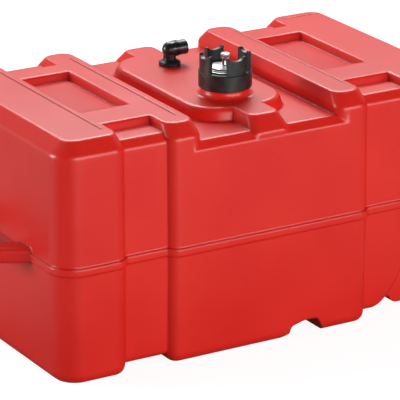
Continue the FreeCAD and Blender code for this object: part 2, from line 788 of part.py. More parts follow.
def relief_disc_seal():
    low = SEAT_TOP_Z + RUNNING
    inner = VENT_STEM_R + 2 * CLEAR
    return ring(inner, VALVE_CHAMBER_R - 2 * CLEAR, low, low + DISC_SEAL_T, NECK_Y)


def relief_disc():
    low = SEAT_TOP_Z + RUNNING + DISC_SEAL_T
    inner = VENT_STEM_R + 2 * CLEAR
    return ring(inner, VALVE_CHAMBER_R - CLEAR, low, low + DISC_T, NECK_Y)


def relief_spring():
    """Open coil between the disc and the roof of the chamber."""
    low = SEAT_TOP_Z + RUNNING + DISC_SEAL_T + DISC_T + SPRING_WIRE_R
    high = CHAMBER_TOP_Z - SPRING_WIRE_R
    pitch = (high - low) / SPRING_COILS
    helix = Part.makeHelix(pitch, high - low, SPRING_R)
    circle = Part.Wire([Part.makeCircle(SPRING_WIRE_R, V(SPRING_R, 0, 0), V(0, 2 * math.pi * SPRING_R, pitch))])
    solid = Part.Wire(helix).makePipeShell([circle], True, True)
    solid.translate(V(0, NECK_Y, low))
    return solid


# Pickup fitting

def pickup_bushing():
    """Threaded bushing that carries the elbow above and the dip tube below."""
    flange_z = PLATE_Z + PICKUP_SEAL_T
    shoulder_z = BUSHING_END_Z + SNAP_ROOM
    return revolved([
        (BARB_R - BARB_WALL, BUSHING_END_Z - BARB_LENGTH), (BARB_R, BUSHING_END_Z - BARB_LENGTH),
        (BARB_R, BUSHING_END_Z), (BUSHING_THREAD_R, BUSHING_END_Z), (BUSHING_THREAD_R, flange_z),
        (FLANGE_R, flange_z), (FLANGE_R, flange_z + FLANGE_H / 2), (FLANGE_R - 1, flange_z + FLANGE_H / 2 + 1),
        (ELBOW_STEM_R + 2, BUSHING_TOP_Z), (BUSHING_BORE_R, BUSHING_TOP_Z), (BUSHING_BORE_R, shoulder_z),
        (BUSHING_BORE_R + SNAP_STEP, shoulder_z), (BUSHING_BORE_R + SNAP_STEP, BUSHING_END_Z + BARB_WALL),
        (BARB_R - BARB_WALL, BUSHING_END_Z + BARB_WALL),
    ], 0, PICKUP_Y)


def pickup_gasket():
    return ring(BUSHING_THREAD_R + RUNNING, FLANGE_R - CLEAR, PLATE_Z, PLATE_Z + PICKUP_SEAL_T, PICKUP_Y)


def pickup_elbow():
    """Swivelling outlet with a threaded mouth towards +X."""
    spigot_r = BUSHING_BORE_R - RUNNING
    shoulder_z = BUSHING_END_Z + SNAP_ROOM
    ring_top = shoulder_z - CLEAR
    ring_low = ring_top - SNAP_T
    foot = BUSHING_TOP_Z + CLEAR
    axis_z = ELBOW_AXIS_Z
    seal_z = PLATE_Z
    groove = ELBOW_SEAL_R + RUNNING
    deep = spigot_r - 2 * ELBOW_SEAL_R
    shape = revolved([
        (0, ring_low - SNAP_T), (spigot_r - CLEAR, ring_low - SNAP_T), (spigot_r - CLEAR, ring_low),
        (deep, ring_low), (deep, ring_top), (spigot_r, ring_top), (spigot_r, seal_z - groove),
        (deep, seal_z - groove), (deep, seal_z + groove), (spigot_r, seal_z + groove), (spigot_r, foot),
        (ELBOW_STEM_R + 1, foot), (ELBOW_STEM_R, foot + 2), (ELBOW_STEM_R, axis_z), (0, axis_z),
    ])
    bend = Part.makeSphere(ELBOW_BODY_R, V(0, 0, axis_z))
    barrel = Part.makeCylinder(ELBOW_BARREL_R, ELBOW_REACH, V(0, 0, axis_z), X_AXIS)
    added = [bend, barrel]
    for k in range(ELBOW_RIBS):
        x = ELBOW_RIB_X + k * ELBOW_RIB_PITCH
        added.append(Part.makeCylinder(ELBOW_BARREL_R + ELBOW_RIB, ELBOW_RIB_PITCH / 2, V(x, 0, axis_z), X_AXIS))
    shape = shape.fuse(added)
    shape = shape.cut([
        cylinder(ELBOW_BORE_R, ring_low - SNAP_T, axis_z),
        Part.makeSphere(ELBOW_BORE_R, V(0, 0, axis_z)),
        Part.makeCylinder(ELBOW_BORE_R, ELBOW_REACH, V(0, 0, axis_z), X_AXIS),
        Part.makeCylinder(OUTLET_R, OUTLET_LENGTH, V(ELBOW_REACH - OUTLET_LENGTH, 0, axis_z), X_AXIS),
    ])
    shape.translate(V(0, PICKUP_Y, 0))
    return shape


def elbow_seal():
    mean = BUSHING_BORE_R - RUNNING - ELBOW_SEAL_R
    return torus(mean, ELBOW_SEAL_R - RUNNING / 2, PLATE_Z, PICKUP_Y)


def elbow_snap_ring():
    """Split ring in the spigot's lowest groove."""
    top = BUSHING_END_Z + SNAP_ROOM - CLEAR
    inner = BUSHING_BORE_R - RUNNING - 2 * ELBOW_SEAL_R
    solid = ring(inner, BUSHING_BORE_R + SNAP_STEP - CLEAR, top - SNAP_T, top, 0)
    solid = solid.cut(wedge(0, SNAP_SPLIT_ANGLE, 1, 2 * BUSHING_BORE_R, top - SNAP_T, top))
    solid.translate(V(0, PICKUP_Y, 0))
    return solid


def dip_tube():
    return ring(BARB_R, BARB_R + TUBE_WALL, WALL + TUBE_FLOOR_GAP, BUSHING_END_Z, PICKUP_Y)


def filter_cage():
    """Slotted basket round the foot of the dip tube."""
    low = WALL + CAGE_FLOOR_GAP
    high = low + CAGE_HEIGHT
    tube_r = BARB_R + TUBE_WALL
    solid = revolved([
        (0, low), (CAGE_R, low), (CAGE_R, high), (tube_r, high), (tube_r, high - CAGE_WALL),
        (CAGE_R - CAGE_WALL, high - CAGE_WALL), (CAGE_R - CAGE_WALL, low + CAGE_WALL), (0, low + CAGE_WALL),
    ])
    cutters = []
    for k in range(CAGE_WINDOWS):
        angle = k * 360.0 / CAGE_WINDOWS
        cutters.append(wedge(angle, CAGE_WINDOW_ANGLE, CAGE_R - 2 * CAGE_WALL, CAGE_R + CAGE_WALL,
                             low + 2 * CAGE_WALL, high - 2 * CAGE_WALL))
    solid = solid.cut(cutters)
    solid.translate(V(0, PICKUP_Y, 0))
    return solid


def filter_screen():
    low = WALL + CAGE_FLOOR_GAP + CAGE_WALL
    high = low + CAGE_HEIGHT - 2 * CAGE_WALL
    outer = CAGE_R - CAGE_WALL - RUNNING
    return ring(outer - SCREEN_WALL, outer, low, high, PICKUP_Y)


# Each piece, written once

PIECES = {
    "tank_body": tank_body,
    "fill_cap": fill_cap,
    "fill_cap_gasket": fill_cap_gasket,
    "valve_body": valve_body,
    "valve_body_gasket": valve_body_gasket,
    "valve_body_nut": valve_body_nut,
    "vent_screw": vent_screw,
    "vent_screw_tip": vent_screw_tip,
    "vent_stem_seal": vent_stem_seal,
    "relief_seat": relief_seat,
    "relief_disc": relief_disc,
    "relief_disc_seal": relief_disc_seal,
    "relief_spring": relief_spring,
    "pickup_bushing": pickup_bushing,
    "pickup_gasket": pickup_gasket,
    "pickup_elbow": pickup_elbow,
    "elbow_seal": elbow_seal,
    "elbow_snap_ring": elbow_snap_ring,
    "dip_tube": dip_tube,
    "filter_cage": filter_cage,
    "filter_screen": filter_screen,
}

os.makedirs("parts", exist_ok=True)
for name, make in PIECES.items():
    piece = make()
    if len(piece.Solids) != 1:
        raise ValueError(name + " is not one solid")
    piece.Solids[0].exportStep("parts/" + name + ".step")
    bounds = piece.BoundBox
    print(name, round(piece.Volume), piece.isValid(), [round(v, 2) for v in (
        bounds.XMin, bounds.XMax, bounds.YMin, bounds.YMax, bounds.ZMin, bounds.ZMax)])
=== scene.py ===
import math

import bmesh
import bpy
from mathutils import Matrix, Vector


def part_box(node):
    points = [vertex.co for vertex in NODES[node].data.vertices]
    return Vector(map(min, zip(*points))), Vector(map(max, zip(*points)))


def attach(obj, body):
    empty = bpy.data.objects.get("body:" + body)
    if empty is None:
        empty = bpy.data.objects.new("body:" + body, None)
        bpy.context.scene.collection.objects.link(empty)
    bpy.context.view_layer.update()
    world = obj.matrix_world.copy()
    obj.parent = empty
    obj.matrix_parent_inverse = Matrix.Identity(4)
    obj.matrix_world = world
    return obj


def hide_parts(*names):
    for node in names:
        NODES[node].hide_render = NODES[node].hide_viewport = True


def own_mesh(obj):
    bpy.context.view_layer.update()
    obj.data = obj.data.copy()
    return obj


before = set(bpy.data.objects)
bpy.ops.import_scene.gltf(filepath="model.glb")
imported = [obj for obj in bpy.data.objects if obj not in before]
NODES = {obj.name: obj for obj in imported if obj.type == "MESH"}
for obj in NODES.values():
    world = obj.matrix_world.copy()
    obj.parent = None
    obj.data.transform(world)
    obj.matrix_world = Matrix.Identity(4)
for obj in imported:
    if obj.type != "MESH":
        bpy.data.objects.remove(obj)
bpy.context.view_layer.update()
SCENE = bpy.context.scene
SCENE.view_settings.view_transform = "Standard"


# Camera: a long lens from the front left, a little above the tank

TARGET = Vector((0.00156, 0.0, 0.1288))
AZIMUTH = math.radians(-30.556)
ELEVATION = math.radians(19.615)
DISTANCE = 3.7775
LENS = 279.4


def place_camera():
    toward = Vector((
        math.sin(AZIMUTH) * math.cos(ELEVATION),
        -math.cos(AZIMUTH) * math.cos(ELEVATION),
        math.sin(ELEVATION),
    ))
    data = bpy.data.cameras.new("camera")
    data.sensor_width = 36.0
    data.lens = LENS
    camera = bpy.data.objects.new("camera", data)
    camera.location = TARGET + toward * DISTANCE
    camera.rotation_euler = (-toward).to_track_quat("-Z", "Y").to_euler()
    SCENE.collection.objects.link(camera)
    SCENE.camera = camera


# Tank moulding: the CAD tank's sizes in millimetres, with the softer edges of the photographed one

MM = 0.001
TAN_22 = math.tan(math.radians(22.5))
HALF_X = 280.0
HALF_Y = 170.5
TANK_HEIGHT = 292.0
DRAFT = 2.0
PARTING_Z = 139.6
WALL = 4.0
EDGE_R = 8.0
LEAST_CORNER_R = 0.3
AXIS_R = 0.01
CORNER_R = 30.0
TOP_EDGE_R = 6.0
SHOULDER_R = 9.0
BOTTOM_R = 13.0
LOBE_CORNER_R = 15.0
EDGE_CHAMFER = 15.0
CHANNEL_INNER_X = 137.0
CHANNEL_OUTER_X = 192.0
CHANNEL_DEPTH = 10.0
CHANNEL_CHAMFER = 9.0
CHANNEL_CORNER_R = 9.0
LIP_LEAN = 4.0
POCKET_EDGES_Y = (-114.0, -68.0, 83.0, 114.0)
POCKET_RAMP = 30.0
POCKET_LEAN = 5.0
DECK_HALF_X = 92.0
DECK_Z = TANK_HEIGHT - 24.2
DECK_CHAMFER = 9.0
DECK_EDGE_R = 5.0
DECK_BURY = 3.0
PLATE_RISE = 15.2
PLATE_Z = DECK_Z + PLATE_RISE
PLATE_HALF_X = 61.5
PLATE_FRONT_Y = -115.0
PLATE_BACK_Y = 124.0
PLATE_CORNER_R = 45.0
PLATE_LEAN = 5.0
PLATE_EDGE_R = 7.0
SPUR_HALF_X = 20.0
SPUR_CHAMFER = 17.0
SPUR_CORNER_R = 11.0
NOTCH_LEFT_X = 27.0
NOTCH_CROWN_X = 46.0
NOTCH_RIGHT_X = 65.0
NOTCH_FOOT_X = 76.0
NOTCH_HEIGHT = 20.5
NOTCH_SPRING_Z = 15.5
NOTCH_LIP_X = 14.0
NOTCH_LIP_Z = 7.0
NOTCH_RIGHT_R = 9.0
NOTCH_CROWN_R = 25.0
NOTCH_LEFT_R = 7.0
NOTCH_LIP_R = 5.0
FOOT_HALF_Y = 131.0
UNDERCUT_START_X = 110.0
UNDERCUT_R = 85.0
UNDERCUT_HEIGHT = 92.0
BAND_HEIGHT = 9.6
BAND_STAND = 2.3
BAND_EDGE_R = 1.2
HANDLE_WIDTH = 28.0
HANDLE_HEIGHT = 19.0
HANDLE_EDGE_R = 5.0
HANDLE_Z = 141.0
HANDLE_REACH = 62.0
HANDLE_FOOT_Y = 98.5
HANDLE_SLANT = math.radians(30.0)
HANDLE_BEND_R = 26.0
LINE_WIDTH = 1.4
LINE_DEPTH = 0.8
LEFT_LINE_X = -206.0
LEFT_LINE_HALF_Y = 132.0
RIB_LINES_X = (-107.0, 127.0)
RIB_LINE_HALF_Y = 128.0
BORDER_X = 264.0
BORDER_START_X = 206.0
BORDER_HALF_Y = 141.0
NECK_Y = -61.0
NECK_R = 25.6
NECK_EDGE_R = 0.6
NECK_BORE_R = 21.5
BOSS_R = 29.0
BOSS_RISE = 8.0
BOSS_FOOT_R = 6.0
BOSS_EDGE_R = 1.2
THREAD_PITCH = 5.0
THREAD_DEPTH = 1.4
THREAD_TURNS = 1.6
THREAD_ROOT = 3.4
THREAD_CREST = 1.4
THREAD_BURY = 0.4
THREAD_STEPS = 60
PICKUP_Y = 70.0
PICKUP_HOLE_R = 9.55
PICKUP_SEAT_R = 15.0
PICKUP_SEAT_H = 18.0
NECK_TOP_Z = PLATE_Z + 22.9
SHARP_ANGLE = math.radians(35.0)


def arc(start, corner, end, half, segments=6):
    """Circular arc from start to end, tangent to both legs of a corner whose half angle is given."""
    weight = math.sin(half)
    found = []
    for k in range(segments + 1):
        t = k / segments
        a, b, c = (1 - t) ** 2, 2 * weight * t * (1 - t), t * t
        found.append((start * a + corner * b + end * c) / (a + b + c))
    return found


def rounded_outline(points, segments=6):
    """Closed outline through (u, v, radius) corners, each rounded tangentially."""
    found = []
    for i, (u, v, radius) in enumerate(points):
        here = Vector((u, v))
        if radius <= 0:
            found.append(here)
            continue
        before = (Vector(points[i - 1][:2]) - here).normalized()
        after = (Vector(points[(i + 1) % len(points)][:2]) - here).normalized()
        half = before.angle(after) / 2
        reach = radius / math.tan(half)
        found += arc(here + before * reach, here, here + after * reach, half, segments)
    return found


def closed_mesh(name, rings):
    """Object whose skin runs through rings of points in millimetres, closed at both ends."""
    count = len(rings[0])
    faces = [tuple(range(count))[::-1], tuple(range((len(rings) - 1) * count, len(rings) * count))]
    for row in range(len(rings) - 1):
        for i in range(count):
            j = (i + 1) % count
            low, high = row * count, (row + 1) * count
            faces.append((low + i, low + j, high + j, high + i))
    mesh = bpy.data.meshes.new(name)
    mesh.from_pydata([Vector(point) * MM for ring in rings for point in ring], [], faces)
    form = bmesh.new()
    form.from_mesh(mesh)
    bmesh.ops.recalc_face_normals(form, faces=form.faces)
    form.to_mesh(mesh)
    form.free()
    return bpy.data.objects.new(name, mesh)


def loft_block(levels, fillets):
    """Block through (z, x0, x1, half_y, low radius, high radius) levels, with some of the levels rounded."""
    rows = [Vector(level) for level in levels]
    inward = Vector((0, 1, -1, -1, -1, -1))
    rings = []
    for i, row in enumerate(rows):
        radius = fillets.get(i, 0)
        if not radius:
            rings.append(row)
            continue
        before = rows[i - 1] - row if i else inward
        after = rows[i + 1] - row if i + 1 < len(rows) else inward
        before = before / math.hypot(before[0], before[3])
        after = after / math.hypot(after[0], after[3])
        half = Vector((before[0], before[3])).angle(Vector((after[0], after[3]))) / 2
        reach = radius / math.tan(half)
        rings += arc(row + before * reach, row, row + after * reach, half)
    points = []
    for z, x0, x1, half_y, low, high in rings:
        low, high = max(low, LEAST_CORNER_R), max(high, LEAST_CORNER_R)
        corners = [(x0, -half_y, low), (x1, -half_y, high), (x1, half_y, high), (x0, half_y, low)]
        points.append([(p.x, p.y, z) for p in rounded_outline(corners)])
    return closed_mesh("block", points)


def prism(outline, direction, low, high):
    """Rounded outline in (u, v), pushed along w; direction says which axis each of the three is."""
    flat = rounded_outline(outline)
    return closed_mesh("prism", [[direction(p.x, p.y, w) for p in flat] for w in (low, high)])


def along_x(u, v, w):
    return (w, u, v)


def along_y(u, v, w):
    return (u, w, v)


def along_z(u, v, w):
    return (u, v, w)


def turned(outline, y, segments=64):
    """Solid of revolution of (radius, z, rounding) corners about a vertical axis at x = 0."""
    flat = rounded_outline(outline)
    rings = []
    for p in flat:
        ring = []
        radius = max(p.x, AXIS_R)
        for k in range(segments):
            angle = 2 * math.pi * k / segments
            ring.append((radius * math.cos(angle), radius * math.sin(angle) + y, p.y))
        rings.append(ring)
    return closed_mesh("turned", rings)


def combine(base, others, operation):
    """Boolean of one object with several, which it uses up."""
    group = bpy.data.collections.new("operands")
    SCENE.collection.children.link(group)
    SCENE.collection.objects.link(base)
    for other in others:
        group.objects.link(other)
    modifier = base.modifiers.new("combine", "BOOLEAN")
    modifier.operand_type = "COLLECTION"
    modifier.collection = group
    modifier.operation = operation
    modifier.solver = "EXACT"
    mesh = bpy.data.meshes.new_from_object(base.evaluated_get(bpy.context.evaluated_depsgraph_get()))
    base.modifiers.clear()
    base.data = mesh
    SCENE.collection.objects.unlink(base)
    for other in others:
        bpy.data.objects.remove(other)
    bpy.data.collections.remove(group)
    return base


def draft_at(z):
    """How far the sides have drawn in at a height, nothing at the parting line."""
    if z > PARTING_Z:
        return DRAFT * (z - PARTING_Z) / (TANK_HEIGHT - PARTING_Z)
    return DRAFT * (PARTING_Z - z) / PARTING_Z


def lobe(x0, x1, low_end, high_end, inset):
    """One full-height lobe; low_end and high_end mark the tank's outer ends."""
    top_step = EDGE_CHAMFER - inset * (1 - TAN_22)
    lower = TANK_HEIGHT - EDGE_CHAMFER - inset * TAN_22
    heights = [(inset, 0, 0), (PARTING_Z, 0, 0), (lower, 0, 0), (TANK_HEIGHT - inset, top_step, LIP_LEAN)]
    levels = []
    for z, step, lean in heights:
        half_y = HALF_Y - draft_at(z) - inset - step
        xa = x0 + draft_at(z) + inset + step if low_end else x0 + inset + lean
        xb = x1 - draft_at(z) - inset - step if high_end else x1 - inset - lean
        r_low = CORNER_R - inset - step if low_end else LOBE_CORNER_R - inset
        r_high = CORNER_R - inset - step if high_end else LOBE_CORNER_R - inset
        levels.append((z, xa, xb, half_y, r_low, r_high))
    return loft_block(levels, {0: BOTTOM_R - inset, 2: SHOULDER_R, 3: TOP_EDGE_R * (EDGE_R - inset) / EDGE_R})


def channel_floor(way, inset):
    """The body behind one strap channel, from inside the inner rib to inside the end lobe."""
    down = CHANNEL_DEPTH + inset
    top = TANK_HEIGHT - down
    inner = (DECK_HALF_X + CHANNEL_INNER_X) / 2
    outer = (CHANNEL_OUTER_X + HALF_X) / 2
    x0, x1 = sorted((way * inner, way * outer))
    corner = CHANNEL_CORNER_R - inset
    levels = []
    for z, step in [(down, 0), (PARTING_Z, 0), (top - CHANNEL_CHAMFER, 0), (top, CHANNEL_CHAMFER)]:
        levels.append((z, x0, x1, HALF_Y - draft_at(z) - down - step, corner, corner))
    small = EDGE_R - inset
    return loft_block(levels, {0: small, 2: small, 3: TOP_EDGE_R * small / EDGE_R})


def lands(inset):
    """Full-height bridges across the two channels, with the pockets before, between and behind them."""
    front, ramp, wall, back = POCKET_EDGES_Y
    top = TANK_HEIGHT - inset
    foot = TANK_HEIGHT - CHANNEL_DEPTH - EDGE_R
    slope = POCKET_LEAN * (top - foot) / CHANNEL_DEPTH
    ramp_run = POCKET_RAMP * (top - foot) / CHANNEL_DEPTH
    rounding = EDGE_R / 2
    outlines = [
        [(front - slope + inset, foot, 0), (front + inset, top, rounding),
         (ramp - inset, top, rounding), (ramp + ramp_run - inset, foot, 0)],
        [(wall - slope + inset, foot, 0), (wall + inset, top, rounding),
         (back - inset, top, rounding), (back + slope - inset, foot, 0)],
    ]
    reach = EDGE_R + LIP_LEAN
    found = []
    for outline in outlines:
        found.append(prism(outline, along_x, -CHANNEL_OUTER_X - reach, -CHANNEL_INNER_X + reach))
        found.append(prism(outline, along_x, CHANNEL_INNER_X - reach, CHANNEL_OUTER_X + reach))
    return found


def deck_block(inset):
    """Middle of the tank up to the deck; its ends lie inside the two inner ribs."""
    reach = CHANNEL_INNER_X - DECK_BURY - inset
    size = DECK_CHAMFER - inset * (1 - TAN_22)
    top = DECK_Z - inset
    corner = LOBE_CORNER_R - inset
    levels = []
    for z, step in [(inset, 0), (PARTING_Z, 0), (top - size, 0), (top, size)]:
        levels.append((z, -reach, reach, HALF_Y - draft_at(z) - inset - step, corner, corner))
    rounding = DECK_EDGE_R * (EDGE_R - inset) / EDGE_R
    return loft_block(levels, {0: BOTTOM_R - inset, 2: rounding, 3: rounding})


def plate(inset):
    """Raised plate on the deck that carries the filler neck and the pickup."""
    top = PLATE_Z - inset
    foot = DECK_Z - EDGE_R
    lean = PLATE_LEAN * (top - foot) / PLATE_RISE
    middle = (PLATE_FRONT_Y + PLATE_BACK_Y) / 2
    half_length = (PLATE_BACK_Y - PLATE_FRONT_Y) / 2
    levels = []
    for z, out in [(foot, lean - inset), (top, -inset)]:
        half = PLATE_HALF_X + out
        levels.append((z, -half, half, half_length + out, PLATE_CORNER_R + out, PLATE_CORNER_R + out))
    block = loft_block(levels, {1: PLATE_EDGE_R - inset})
    block.data.transform(Matrix.Translation((0, middle * MM, 0)))
    return block


def spurs(inset):
    """Ridge from front to back through the plate, sloped at both ends."""
    top = PLATE_Z - inset
    foot = DECK_Z - EDGE_R
    side = HALF_Y - draft_at(DECK_Z) - inset
    corner = SPUR_CORNER_R - inset
    levels = []
    for z, half_y in [(foot, side), (top - SPUR_CHAMFER, side), (top, side - SPUR_CHAMFER)]:
        half = SPUR_HALF_X - inset + (top - z) * PLATE_LEAN / PLATE_RISE
        levels.append((z, -half, half, half_y, corner, corner))
    rounding = PLATE_EDGE_R - inset
    return loft_block(levels, {1: rounding, 2: rounding})


def notch_cutter(inset):
    """Arched groove under the tank, open at the front and the back."""
    low = -BOTTOM_R
    left, right = NOTCH_LEFT_X - inset, NOTCH_RIGHT_X + inset
    top, spring = NOTCH_HEIGHT + inset, NOTCH_SPRING_Z + inset
    left_run = (NOTCH_LEFT_X - NOTCH_LIP_X) / NOTCH_LIP_Z
    right_run = (NOTCH_FOOT_X - NOTCH_RIGHT_X) / NOTCH_HEIGHT
    outline = [
        (left - (NOTCH_LIP_Z - low) * left_run, low, 0), (right + (top - low) * right_run, low, 0),
        (right, top, NOTCH_RIGHT_R + inset), (NOTCH_CROWN_X, top, NOTCH_CROWN_R + inset),
        (left, spring, NOTCH_LEFT_R + inset), (left, NOTCH_LIP_Z, NOTCH_LIP_R - inset),
    ]
    return prism(outline, along_y, -HALF_Y - EDGE_R, HALF_Y + EDGE_R)


def undercut_cutters(inset):
    """Cut-away lower corners at the right end, on both sides of a central foot."""
    radius = UNDERCUT_R - inset
    low = -EDGE_R
    side = HALF_X + EDGE_R
    top = UNDERCUT_HEIGHT + inset
    end_x = UNDERCUT_START_X + radius
    outline = [(UNDERCUT_START_X, low, 0), (side, low, 0), (side, top, 0), (end_x, top, 0)]
    steps = 12
    for k in range(steps + 1):
        angle = math.pi / 2 * k / steps
        x = UNDERCUT_START_X + radius * math.cos(angle)
        outline.append((x, UNDERCUT_R - radius * math.sin(angle), 0))
    found = []
    for way in (-1, 1):
        near, far = sorted((way * (FOOT_HALF_Y - inset), way * (HALF_Y + EDGE_R)))
        found.append(prism(outline, along_y, near, far))
    return found


def tank_form(inset):
    """The moulding's outside, or with an inset the inside of its wall."""
    parts = [
        lobe(-CHANNEL_INNER_X, -DECK_HALF_X, False, False, inset),
        deck_block(inset),
        lobe(DECK_HALF_X, CHANNEL_INNER_X, False, False, inset),
        lobe(CHANNEL_OUTER_X, HALF_X, False, True, inset),
        channel_floor(-1, inset),
        channel_floor(1, inset),
    ]
    form = combine(lobe(-HALF_X, -CHANNEL_OUTER_X, True, False, inset), parts + lands(inset), "UNION")
    form = combine(form, [notch_cutter(inset)] + undercut_cutters(inset), "DIFFERENCE")
    return combine(form, [plate(inset), spurs(inset)], "UNION")


def parting_band():
    """Flat ridge that follows the sides, in and out of the strap channels."""
    inner = (DECK_HALF_X + CHANNEL_INNER_X) / 2
    outer = (CHANNEL_OUTER_X + HALF_X) / 2
    # x0, x1, how far behind the sides, corner radius at x0 and at x1
    blocks = [
        (-HALF_X, -CHANNEL_OUTER_X, 0, CORNER_R, LOBE_CORNER_R),
        (-CHANNEL_INNER_X, CHANNEL_INNER_X, 0, LOBE_CORNER_R, LOBE_CORNER_R),
        (CHANNEL_OUTER_X, HALF_X, 0, LOBE_CORNER_R, CORNER_R),
        (-outer, -inner, CHANNEL_DEPTH, EDGE_R, EDGE_R),
        (inner, outer, CHANNEL_DEPTH, EDGE_R, EDGE_R),
    ]
    found = []
    for x0, x1, down, low, high in blocks:
        levels = []
        for z in (PARTING_Z - BAND_HEIGHT / 2, PARTING_Z + BAND_HEIGHT / 2):
            levels.append((z, x0 - BAND_STAND, x1 + BAND_STAND, HALF_Y - down + BAND_STAND,
                           low + BAND_STAND, high + BAND_STAND))
        found.append(loft_block(levels, {0: BAND_EDGE_R, 1: BAND_EDGE_R}))
    return found


def handle_bar(way):
    """Loop handle of flat rounded section, bent from one tube, at one end of the tank."""
    lead = 3 * WALL
    slant = math.tan(HANDLE_SLANT)
    radius = HANDLE_WIDTH / 2
    out_x = HALF_X + HANDLE_REACH - radius
    foot_y = HANDLE_FOOT_Y - radius / math.cos(HANDLE_SLANT)
    start = Vector((HALF_X - lead, foot_y + lead * slant))
    bend = Vector((out_x, foot_y - (out_x - HALF_X) * slant))
    to_start = (start - bend).normalized()
    to_grip = Vector((0, -1))
    half = to_start.angle(to_grip) / 2
    reach = HANDLE_BEND_R / math.tan(half)
    side = [start] + arc(bend + to_start * reach, bend, bend + to_grip * reach, half, segments=12)
    line = side + [Vector((p.x, -p.y)) for p in reversed(side)]
    half_height = HANDLE_HEIGHT / 2
    corners = [(-radius, -half_height), (radius, -half_height), (radius, half_height), (-radius, half_height)]
    section = rounded_outline([(u, v, HANDLE_EDGE_R) for u, v in corners])
    rings = []
    for i, p in enumerate(line):
        ahead = (line[min(i + 1, len(line) - 1)] - p).normalized() if i + 1 < len(line) else None
        behind = (p - line[i - 1]).normalized() if i else None
        along = ((ahead or behind) + (behind or ahead)).normalized()
        across = Vector((-along.y, along.x))
        rings.append([(way * (p.x + across.x * s.x), p.y + across.y * s.x, HANDLE_Z + s.y) for s in section])
    return closed_mesh("handle", rings)


def neck():
    """Low round boss with a hollow foot, and the threaded neck on it."""
    boss_z = PLATE_Z + BOSS_RISE
    foot_r = BOSS_R + BOSS_FOOT_R + BOSS_EDGE_R
    boss = turned([
        (0, PLATE_Z - WALL / 2, 0), (foot_r, PLATE_Z - WALL / 2, 0), (foot_r, PLATE_Z, 0),
        (BOSS_R, PLATE_Z, BOSS_FOOT_R), (BOSS_R, boss_z, BOSS_EDGE_R), (NECK_R, boss_z, 0),
        (NECK_R, NECK_TOP_Z, NECK_EDGE_R), (0, NECK_TOP_Z, 0),
    ], NECK_Y)
    profile = [(-THREAD_BURY, -THREAD_ROOT / 2), (THREAD_DEPTH, -THREAD_CREST / 2),
               (THREAD_DEPTH, THREAD_CREST / 2), (-THREAD_BURY, THREAD_ROOT / 2)]
    start = NECK_TOP_Z - THREAD_PITCH * THREAD_TURNS - THREAD_ROOT
    rings = []
    for k in range(THREAD_STEPS + 1):
        angle = 2 * math.pi * THREAD_TURNS * k / THREAD_STEPS
        z = start + THREAD_PITCH * THREAD_TURNS * k / THREAD_STEPS
        ring = []
        for r, dz in profile:
            ring.append(((NECK_R + r) * math.cos(angle), (NECK_R + r) * math.sin(angle) + NECK_Y, z + dz))
        rings.append(ring)
    return [boss, closed_mesh("thread", rings)]


def engraved_lines():
    """Plain grooves in the tops of the lobes and the ribs."""
    low = TANK_HEIGHT - LINE_DEPTH
    high = TANK_HEIGHT + EDGE_R
    half = LINE_WIDTH / 2
    found = []
    border_end = BORDER_HALF_Y + half
    bars = [(LEFT_LINE_X - half, LEFT_LINE_X + half, -LEFT_LINE_HALF_Y, LEFT_LINE_HALF_Y)]
    bars += [(x - half, x + half, -RIB_LINE_HALF_Y, RIB_LINE_HALF_Y) for x in RIB_LINES_X]
    bars += [(BORDER_X - half, BORDER_X + half, -border_end, border_end)]
    bars += [(BORDER_START_X, BORDER_X - half, y - half, y + half) for y in (-BORDER_HALF_Y, BORDER_HALF_Y)]
    for x0, x1, y0, y1 in bars:
        found.append(prism([(x0, y0, 0), (x1, y0, 0), (x1, y1, 0), (x0, y1, 0)], along_z, low, high))
    return found


def tank_moulding():
    """The whole tank: hollow form, parting band, handles, neck, its two holes and the engraved lines."""
    inside = tank_form(WALL)
    seat = turned([(0, PLATE_Z - PICKUP_SEAT_H, 0), (PICKUP_SEAT_R, PLATE_Z - PICKUP_SEAT_H, 0),
                   (PICKUP_SEAT_R, PLATE_Z, 0), (0, PLATE_Z, 0)], PICKUP_Y)
    inside = combine(inside, [seat], "DIFFERENCE")
    high = NECK_TOP_Z + WALL
    bores = []
    for radius, y, low in [(NECK_BORE_R, NECK_Y, PLATE_Z - 2 * WALL),
                           (PICKUP_HOLE_R, PICKUP_Y, PLATE_Z - 2 * PICKUP_SEAT_H)]:
        bores.append(turned([(0, low, 0), (radius, low, 0), (radius, high, 0), (0, high, 0)], y))
    tank = combine(tank_form(0.0), parting_band() + [handle_bar(-1), handle_bar(1)] + neck(), "UNION")
    return combine(tank, [inside] + bores + engraved_lines(), "DIFFERENCE")


def place(piece, name, material, body, node):
    """Puts a finished piece in the scene in place of a CAD node, evenly shaded on its flats and rounds."""
    piece.name = name
    SCENE.collection.objects.link(piece)
    mesh = piece.data
    mesh.materials.clear()
    mesh.materials.append(material)
    mesh.polygons.foreach_set("material_index", [0] * len(mesh.polygons))
    mesh.shade_smooth()
    mesh.set_sharp_from_angle(angle=SHARP_ANGLE)
    weighted = piece.modifiers.new("even_shading", "WEIGHTED_NORMAL")
    weighted.keep_sharp = True
    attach(piece, body)
    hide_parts(node)
    return piece


# Vent and relief valve in the cap's crown: a low stepped disc under a knurled screw with a forked neck

